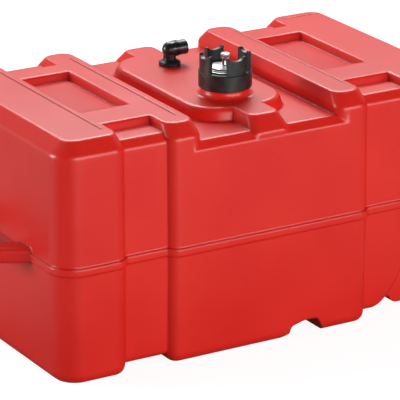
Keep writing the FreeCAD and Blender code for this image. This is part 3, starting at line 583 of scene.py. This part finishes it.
VALVE_FLANGE_Z = 312.8
VALVE_SPIGOT_Z = 298.8
VALVE_SEAT_TOP_Z = 300.4
VALVE_SPIGOT_R = 10.0
VALVE_STEPS = ((24.0, 0.8), (20.5, 1.1), (18.0, 1.7))
VALVE_EDGE_R = 0.3
VALVE_SEAT_GAP = 0.4
VALVE_TOP_Z = VALVE_FLANGE_Z + sum(height for radius, height in VALVE_STEPS)
VALVE_ROOF_T = 3.4
VALVE_CHAMBER_TOP_Z = VALVE_TOP_Z - VALVE_ROOF_T
VALVE_CHAMBER_R = 8.2
STEM_R = 2.4
STEM_END_Z = 303.4
STEM_SEAL_WIDTH = 1.7
STEM_SEAL_T = 1.2
STEM_GAP = 0.05
NIPPLE_R = 0.9
NIPPLE_L = 1.4
SCREW_HEAD_R = 5.9
SCREW_HEAD_H = 4.8
SCREW_NECK_R = 3.5
SCREW_NECK_L = 10.2
SCREW_FOOT_GAP = 0.3
SCREW_EDGE = 0.8
SCREW_FLUTES = 24
FLUTE_DEPTH = 0.44
FLUTE_POINTS = 6
SCREW_SLOT = 1.8
SCREW_SLOT_TURN = math.radians(60.0)
SCREW_SLOT_BELOW = 8.0
SPRING_R = 5.5
SPRING_WIRE_R = 0.35
SPRING_COILS = 4
COIL_STEPS = 24
WIRE_SIDES = 8


def valve_disc():
    """Stepped disc on a spigot, with the chamber, the stem's bore and the groove of its seal inside."""
    outline = [(0, VALVE_SPIGOT_Z, 0), (VALVE_SPIGOT_R, VALVE_SPIGOT_Z, 0),
               (VALVE_SPIGOT_R, VALVE_FLANGE_Z, 0)]
    z = VALVE_FLANGE_Z
    for radius, height in VALVE_STEPS:
        outline += [(radius, z, 0), (radius, z + height, VALVE_EDGE_R)]
        z += height
    solid = turned(outline + [(0, z, 0)], NECK_Y)
    gland = VALVE_TOP_Z - VALVE_ROOF_T / 2
    cutters = []
    for radius, low, high in [
            (VALVE_CHAMBER_R + VALVE_SEAT_GAP, VALVE_SPIGOT_Z - 1, VALVE_SEAT_TOP_Z),
            (VALVE_CHAMBER_R, VALVE_SPIGOT_Z, VALVE_CHAMBER_TOP_Z),
            (STEM_R + STEM_GAP, VALVE_SPIGOT_Z, VALVE_TOP_Z + 1),
            (STEM_R + STEM_SEAL_WIDTH, gland - STEM_SEAL_T / 2, gland + STEM_SEAL_T / 2)]:
        cutters.append(turned([(0, low, 0), (radius, low, 0), (radius, high, 0), (0, high, 0)], NECK_Y))
    return combine(solid, cutters, "DIFFERENCE")


def stem_seal():
    """Ring of square section in the groove round the stem."""
    middle = VALVE_TOP_Z - VALVE_ROOF_T / 2
    inner, outer = STEM_R + STEM_GAP, STEM_R + STEM_SEAL_WIDTH - STEM_GAP
    low, high = middle - STEM_SEAL_T / 2 + STEM_GAP, middle + STEM_SEAL_T / 2 - STEM_GAP
    ring = turned([(0, low, 0), (outer, low, 0), (outer, high, 0), (0, high, 0)], NECK_Y)
    bore = turned([(0, low - 1, 0), (inner, low - 1, 0), (inner, high + 1, 0), (0, high + 1, 0)], NECK_Y)
    return combine(ring, [bore], "DIFFERENCE")


def knurled_screw():
    """Stem with a nipple for the rubber tip, a neck forked by a slot, and a fluted head."""
    foot = VALVE_TOP_Z + SCREW_FOOT_GAP
    head = foot + SCREW_NECK_L
    top = head + SCREW_HEAD_H
    nipple = STEM_END_Z - NIPPLE_L
    rim = SCREW_HEAD_R - SCREW_EDGE
    rows = [(AXIS_R, nipple), (NIPPLE_R, nipple), (NIPPLE_R, STEM_END_Z), (STEM_R, STEM_END_Z),
            (STEM_R, foot), (SCREW_NECK_R, foot), (SCREW_NECK_R, head), (rim, head),
            (SCREW_HEAD_R, head + SCREW_EDGE), (SCREW_HEAD_R, top - SCREW_EDGE), (rim, top), (AXIS_R, top)]
    count = SCREW_FLUTES * FLUTE_POINTS
    rings = []
    for r, z in rows:
        ring = []
        for k in range(count):
            wave = 1 + math.cos(2 * math.pi * k / FLUTE_POINTS)
            radius = r - FLUTE_DEPTH / 2 * wave if r == SCREW_HEAD_R else r
            angle = 2 * math.pi * k / count
            ring.append((radius * math.cos(angle), radius * math.sin(angle) + NECK_Y, z))
        rings.append(ring)
    screw = closed_mesh("screw", rings)
    half = SCREW_SLOT / 2
    long = SCREW_HEAD_R
    box = [(-long, -half, 0), (long, -half, 0), (long, half, 0), (-long, half, 0)]
    slot = prism(box, along_z, VALVE_CHAMBER_TOP_Z - SCREW_SLOT_BELOW, head)
    slot.data.transform(Matrix.Translation((0, NECK_Y * MM, 0)) @ Matrix.Rotation(SCREW_SLOT_TURN, 4, "Z"))
    return combine(screw, [slot], "DIFFERENCE")


def coil_spring(low, high):
    """Round wire coiled between two heights, about the valve's axis."""
    steps = SPRING_COILS * COIL_STEPS
    rings = []
    for k in range(steps + 1):
        angle = 2 * math.pi * SPRING_COILS * k / steps
        z = low + SPRING_WIRE_R + (high - low - 2 * SPRING_WIRE_R) * k / steps
        ring = []
        for i in range(WIRE_SIDES):
            turn = 2 * math.pi * i / WIRE_SIDES
            r = SPRING_R + SPRING_WIRE_R * math.cos(turn)
            height = z + SPRING_WIRE_R * math.sin(turn)
            ring.append((r * math.cos(angle), r * math.sin(angle) + NECK_Y, height))
        rings.append(ring)
    return closed_mesh("spring", rings)


def place_valve(aluminium, zinc, rubber, steel):
    """The four detailed pieces; the spring hangs under the roof, down to the top of the relief disc."""
    place(valve_disc(), "vent_valve_disc", aluminium, "cap", "valve_body")
    place(stem_seal(), "vent_stem_ring", rubber, "cap", "vent_stem_seal")
    place(knurled_screw(), "vent_knurled_screw", zinc, "vent_knob", "vent_screw")
    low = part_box("relief_disc")[1][2] / MM + STEM_GAP
    high = VALVE_CHAMBER_TOP_Z - STEM_GAP
    coil = coil_spring(low, high)
    spring = place(coil, "relief_coil_spring", steel, "cap", "relief_spring")
    spring.modifiers.clear()
    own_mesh(spring)


# Materials

WAVE_FACTOR = 20.0  # the wave texture multiplies its coordinate by this, then repeats every 2 pi
MESH_MM = 0.5


def linear(hex_colour):
    """Linear colour from an sRGB hex value."""
    channels = []
    for i in (1, 3, 5):
        c = int(hex_colour[i:i + 2], 16) / 255
        channels.append(c / 12.92 if c <= 0.04045 else ((c + 0.055) / 1.055) ** 2.4)
    return (*channels, 1.0)


def per_mm(size_mm):
    """Texture scale, in repeats per metre, for a feature of this size."""
    return 1000.0 / size_mm


def add(tree, kind, inputs=None, **settings):
    """Adds one node, sets its properties, and fills or links its inputs."""
    node = tree.nodes.new(kind)
    for name, value in settings.items():
        setattr(node, name, value)
    for name, value in (inputs or {}).items():
        if isinstance(value, bpy.types.NodeSocket):
            tree.links.new(value, node.inputs[name])
        else:
            node.inputs[name].default_value = value
    return node


def new_material(name):
    """A material with its tree, its shader and a position in metres that stays with the piece."""
    material = bpy.data.materials.new(name)
    material.use_nodes = True
    tree = material.node_tree
    shader = tree.nodes["Principled BSDF"]
    where = add(tree, "ShaderNodeTexCoord").outputs["Object"]
    return material, tree, shader, where


def ramp(tree, factor, stops):
    """Colour that runs softly through (position, colour) stops."""
    node = add(tree, "ShaderNodeValToRGB", {"Fac": factor})
    node.color_ramp.interpolation = "EASE"
    points = node.color_ramp.elements
    while len(points) < len(stops):
        points.new(0.5)
    for point, (position, colour) in zip(points, stops):
        point.position = position
        point.color = colour
    return node.outputs["Color"]


def moulded_polyethylene():
    # Blow-moulded polyethylene: a satin skin with a faint orange peel, slow waves where the wall cooled, and
    # painted shade: a deeper red painted into creases and grooves, where the light is lost among the walls.
    material, tree, shader, where = new_material("red_moulded_polyethylene")
    waves = add(tree, "ShaderNodeTexNoise", {"Vector": where, "Scale": per_mm(90), "Detail": 3.0,
                                             "Roughness": 0.5})
    peel = add(tree, "ShaderNodeTexNoise", {"Vector": where, "Scale": per_mm(2.2), "Detail": 2.0})
    grain = add(tree, "ShaderNodeTexNoise", {"Vector": where, "Scale": per_mm(0.6), "Detail": 1.0})
    colour = ramp(tree, waves.outputs["Fac"], [(0.2, linear("#DB1E16")), (0.8, linear("#E32519"))])
    # Painted shade: ambient occlusion darkens the base colour towards a deep red in creases and grooves.
    open_sky = add(tree, "ShaderNodeAmbientOcclusion", {"Distance": 0.008}, samples=6, only_local=True)
    painted_shade_amount = add(tree, "ShaderNodeMapRange", {"Value": open_sky.outputs["AO"], "From Min": 0.25,
                                              "From Max": 0.85, "To Min": 1.0, "To Max": 0.0})
    painted_crease_shade = add(tree, "ShaderNodeMix", {"Factor": painted_shade_amount.outputs["Result"], "A": colour}, data_type="RGBA")
    painted_crease_shade.inputs["B"].default_value = linear("#A8100C")
    tree.links.new(painted_crease_shade.outputs["Result"], shader.inputs["Base Color"])
    rough = add(tree, "ShaderNodeMapRange", {"Value": waves.outputs["Fac"], "To Min": 0.29, "To Max": 0.37})
    tree.links.new(rough.outputs["Result"], shader.inputs["Roughness"])
    soft_edge = add(tree, "ShaderNodeBevel", {"Radius": 0.004}, samples=8)
    slow = add(tree, "ShaderNodeBump", {"Height": waves.outputs["Fac"], "Strength": 0.12, "Distance": 0.002,
                                        "Normal": soft_edge.outputs["Normal"]})
    skin = add(tree, "ShaderNodeBump", {"Height": peel.outputs["Fac"], "Strength": 0.12, "Distance": 0.0004,
                                        "Normal": slow.outputs["Normal"]})
    fine = add(tree, "ShaderNodeBump", {"Height": grain.outputs["Fac"], "Strength": 0.08, "Distance": 0.0002,
                                        "Normal": skin.outputs["Normal"]})
    tree.links.new(fine.outputs["Normal"], shader.inputs["Normal"])
    shader.inputs["IOR"].default_value = 1.52
    return material


def moulded_nylon(name, dark, light, roughness):
    # Injection-moulded black nylon: a slightly mottled skin with a fine spark-eroded grain.
    material, tree, shader, where = new_material(name)
    mottle = add(tree, "ShaderNodeTexNoise", {"Vector": where, "Scale": per_mm(9), "Detail": 4.0})
    grain = add(tree, "ShaderNodeTexNoise", {"Vector": where, "Scale": per_mm(0.5), "Detail": 2.0})
    colour = ramp(tree, mottle.outputs["Fac"], [(0.35, linear(dark)), (0.7, linear(light))])
    tree.links.new(colour, shader.inputs["Base Color"])
    rough = add(tree, "ShaderNodeMapRange", {"Value": mottle.outputs["Fac"], "From Min": 0.3, "From Max": 0.7,
                                             "To Min": roughness - 0.06, "To Max": roughness + 0.06})
    tree.links.new(rough.outputs["Result"], shader.inputs["Roughness"])
    soft_edge = add(tree, "ShaderNodeBevel", {"Radius": 0.0004}, samples=6)
    fine = add(tree, "ShaderNodeBump", {"Height": grain.outputs["Fac"], "Strength": 0.2, "Distance": 0.0001,
                                        "Normal": soft_edge.outputs["Normal"]})
    tree.links.new(fine.outputs["Normal"], shader.inputs["Normal"])
    shader.inputs["IOR"].default_value = 1.53
    return material


def machined_metal(name, dark, light, roughness, groove_mm):
    # Turned or drawn metal: rings left by the tool, one above the other, that catch the light. The real ones
    # are too fine to show, so the rings lie about 6 times groove_mm apart.
    material, tree, shader, where = new_material(name)
    shader.inputs["Metallic"].default_value = 1.0
    rings = add(tree, "ShaderNodeTexWave", {"Vector": where, "Scale": per_mm(groove_mm) / WAVE_FACTOR,
                                            "Distortion": 1.5, "Detail": 2.0}, bands_direction="Z")
    cloud = add(tree, "ShaderNodeTexNoise", {"Vector": where, "Scale": per_mm(5), "Detail": 3.0})
    colour = ramp(tree, cloud.outputs["Fac"], [(0.3, linear(dark)), (0.7, linear(light))])
    tree.links.new(colour, shader.inputs["Base Color"])
    rough = add(tree, "ShaderNodeMapRange", {"Value": cloud.outputs["Fac"], "From Min": 0.3, "From Max": 0.7,
                                             "To Min": roughness - 0.05, "To Max": roughness + 0.07})
    tree.links.new(rough.outputs["Result"], shader.inputs["Roughness"])
    soft_edge = add(tree, "ShaderNodeBevel", {"Radius": 0.0002}, samples=6)
    fine = add(tree, "ShaderNodeBump", {"Height": rings.outputs["Fac"], "Strength": 0.15, "Distance": 0.00005,
                                        "Normal": soft_edge.outputs["Normal"]})
    tree.links.new(fine.outputs["Normal"], shader.inputs["Normal"])
    return material


def soft_rubber():
    # Moulded nitrile rubber: matte black with a greyish bloom.
    material, tree, shader, where = new_material("nitrile_rubber")
    bloom = add(tree, "ShaderNodeTexNoise", {"Vector": where, "Scale": per_mm(4), "Detail": 4.0})
    colour = ramp(tree, bloom.outputs["Fac"], [(0.35, linear("#1A1A1B")), (0.75, linear("#2B2B2C"))])
    tree.links.new(colour, shader.inputs["Base Color"])
    shader.inputs["Roughness"].default_value = 0.75
    fine = add(tree, "ShaderNodeBump", {"Height": bloom.outputs["Fac"], "Strength": 0.15, "Distance": 0.0001})
    tree.links.new(fine.outputs["Normal"], shader.inputs["Normal"])
    return material


def white_acetal():
    # Natural acetal: milky white, slightly waxy.
    material, tree, shader, where = new_material("white_acetal")
    milk = add(tree, "ShaderNodeTexNoise", {"Vector": where, "Scale": per_mm(12), "Detail": 3.0})
    colour = ramp(tree, milk.outputs["Fac"], [(0.3, linear("#DAD8CF")), (0.7, linear("#E6E4DC"))])
    tree.links.new(colour, shader.inputs["Base Color"])
    shader.inputs["Roughness"].default_value = 0.42
    shader.inputs["IOR"].default_value = 1.48
    return material


def woven_mesh():
    # Stainless wire cloth: crossing wires, drawn about 3 mm apart so that they show.
    material, tree, shader, where = new_material("stainless_mesh")
    shader.inputs["Metallic"].default_value = 1.0
    shader.inputs["Roughness"].default_value = 0.4
    scale = per_mm(MESH_MM) / WAVE_FACTOR
    weft = add(tree, "ShaderNodeTexWave", {"Vector": where, "Scale": scale}, bands_direction="Z")
    warp = add(tree, "ShaderNodeTexWave", {"Vector": where, "Scale": scale}, bands_direction="X")
    both = add(tree, "ShaderNodeMath", {0: weft.outputs["Fac"], 1: warp.outputs["Fac"]}, operation="MULTIPLY")
    colour = ramp(tree, both.outputs["Value"], [(0.1, linear("#3C3C3A")), (0.6, linear("#B4B4B0"))])
    tree.links.new(colour, shader.inputs["Base Color"])
    return material


def dress_nodes():
    """A finish for each CAD node that shows as it is, and the detailed pieces in place of the others."""
    polyethylene = moulded_polyethylene()
    nylon = moulded_nylon("black_moulded_nylon", "#151A1A", "#1F2525", 0.38)
    glossy_nylon = moulded_nylon("black_glossy_nylon", "#151A1A", "#1E2424", 0.3)
    zinc = machined_metal("bright_plated_zinc", "#BFC0C2", "#DCDCDD", 0.28, 0.4)
    aluminium = machined_metal("turned_aluminium", "#C9CACC", "#E6E6E7", 0.35, 0.3)
    spring = machined_metal("drawn_spring_steel", "#8E8E90", "#A8A8AA", 0.3, 0.2)
    sheet = machined_metal("stamped_stainless_sheet", "#A4A4A6", "#BDBDBF", 0.3, 0.5)
    rubber = soft_rubber()
    acetal = white_acetal()
    mesh = woven_mesh()
    finishes = {
        "fill_cap": nylon,
        "fill_cap_gasket": rubber,
        "valve_body_gasket": rubber,
        "valve_body_nut": nylon,
        "vent_screw_tip": rubber,
        "relief_seat": sheet,
        "relief_disc": sheet,
        "relief_disc_seal": rubber,
        "pickup_bushing": nylon,
        "pickup_gasket": rubber,
        "pickup_elbow": glossy_nylon,
        "elbow_seal": rubber,
        "elbow_snap_ring": spring,
        "dip_tube": acetal,
        "filter_cage": acetal,
        "filter_screen": mesh,
    }
    place(tank_moulding(), "tank_moulding", polyethylene, "tank", "tank_body")
    place_valve(aluminium, zinc, rubber, spring)
    for name, material in finishes.items():
        data = NODES[name].data
        data.materials.clear()
        data.materials.append(material)


# Studio

def soft_box(name, where, aim, width, height, power):
    """Rectangular lamp, sizes in metres and power in watts, turned towards its aim."""
    data = bpy.data.lights.new(name, "AREA")
    data.shape = "RECTANGLE"
    data.size = width
    data.size_y = height
    data.energy = power
    light = bpy.data.objects.new(name, data)
    light.location = where
    light.rotation_euler = (Vector(aim) - Vector(where)).to_track_quat("-Z", "Y").to_euler()
    SCENE.collection.objects.link(light)


def build_world():
    """White to the camera; to everything else a pale wall behind the tank and a dim room in front."""
    world = bpy.data.worlds.new("studio")
    world.use_nodes = True
    SCENE.world = world
    tree = world.node_tree
    back = tree.nodes["Background"]
    back.inputs["Color"].default_value = (1.0, 1.0, 1.0, 1.0)
    where = add(tree, "ShaderNodeTexCoord").outputs["Generated"]
    depth = add(tree, "ShaderNodeSeparateXYZ", {"Vector": where}).outputs["Y"]
    wall = add(tree, "ShaderNodeMapRange", {"Value": depth, "From Min": -0.1, "From Max": 0.6,
                                            "To Min": 0.06, "To Max": 0.45})
    path = add(tree, "ShaderNodeLightPath")
    seen = add(tree, "ShaderNodeMath", {0: path.outputs["Is Camera Ray"],
                                        1: path.outputs["Is Transmission Ray"]}, operation="MAXIMUM")
    strength = add(tree, "ShaderNodeMath", {0: seen.outputs["Value"], 1: wall.outputs["Result"]},
                   operation="MAXIMUM")
    tree.links.new(strength.outputs["Value"], back.inputs["Strength"])


def build_floor():
    # Matt studio paper, grey to the lamps and brighter to the camera, so that it runs out to plain white
    # and keeps a soft shadow.
    mesh = bpy.data.meshes.new("floor")
    size = 6.0
    corners = [(-size, -size, 0), (size, -size, 0), (size, size, 0), (-size, size, 0)]
    mesh.from_pydata(corners, [], [(0, 1, 2, 3)])
    floor = bpy.data.objects.new("floor", mesh)
    floor.location.z = -0.0005
    SCENE.collection.objects.link(floor)
    material = bpy.data.materials.new("white_studio_paper")
    material.use_nodes = True
    tree = material.node_tree
    shader = tree.nodes["Principled BSDF"]
    fibre = add(tree, "ShaderNodeTexNoise", {"Scale": per_mm(3), "Detail": 3.0})
    colour = ramp(tree, fibre.outputs["Fac"], [(0.3, linear("#8E8E8E")), (0.7, linear("#949494"))])
    tree.links.new(colour, shader.inputs["Base Color"])
    shader.inputs["Roughness"].default_value = 0.9
    shader.inputs["Emission Color"].default_value = (1.0, 1.0, 1.0, 1.0)
    seen = add(tree, "ShaderNodeLightPath").outputs["Is Camera Ray"]
    lift = add(tree, "ShaderNodeMapRange", {"Value": seen, "To Max": 0.9})
    tree.links.new(lift.outputs["Result"], shader.inputs["Emission Strength"])
    mesh.materials.append(material)


def build_studio():
    build_world()
    build_floor()
    soft_box("back_overhead", (0.66, 1.3, 1.8), (0, 0, 0.2), 1.6, 1.0, 48)
    soft_box("front", (0.0, -3.7, 0.75), (0, 0, 0.15), 3.0, 1.2, 96)
    soft_box("front_right", (2.1, -3.4, 0.85), (0, 0, 0.15), 0.55, 0.55, 24)
    soft_box("back_left", (-3.2, 1.5, 0.75), (0, 0, 0.15), 1.1, 1.1, 68)


place_camera()
dress_nodes()
build_studio()
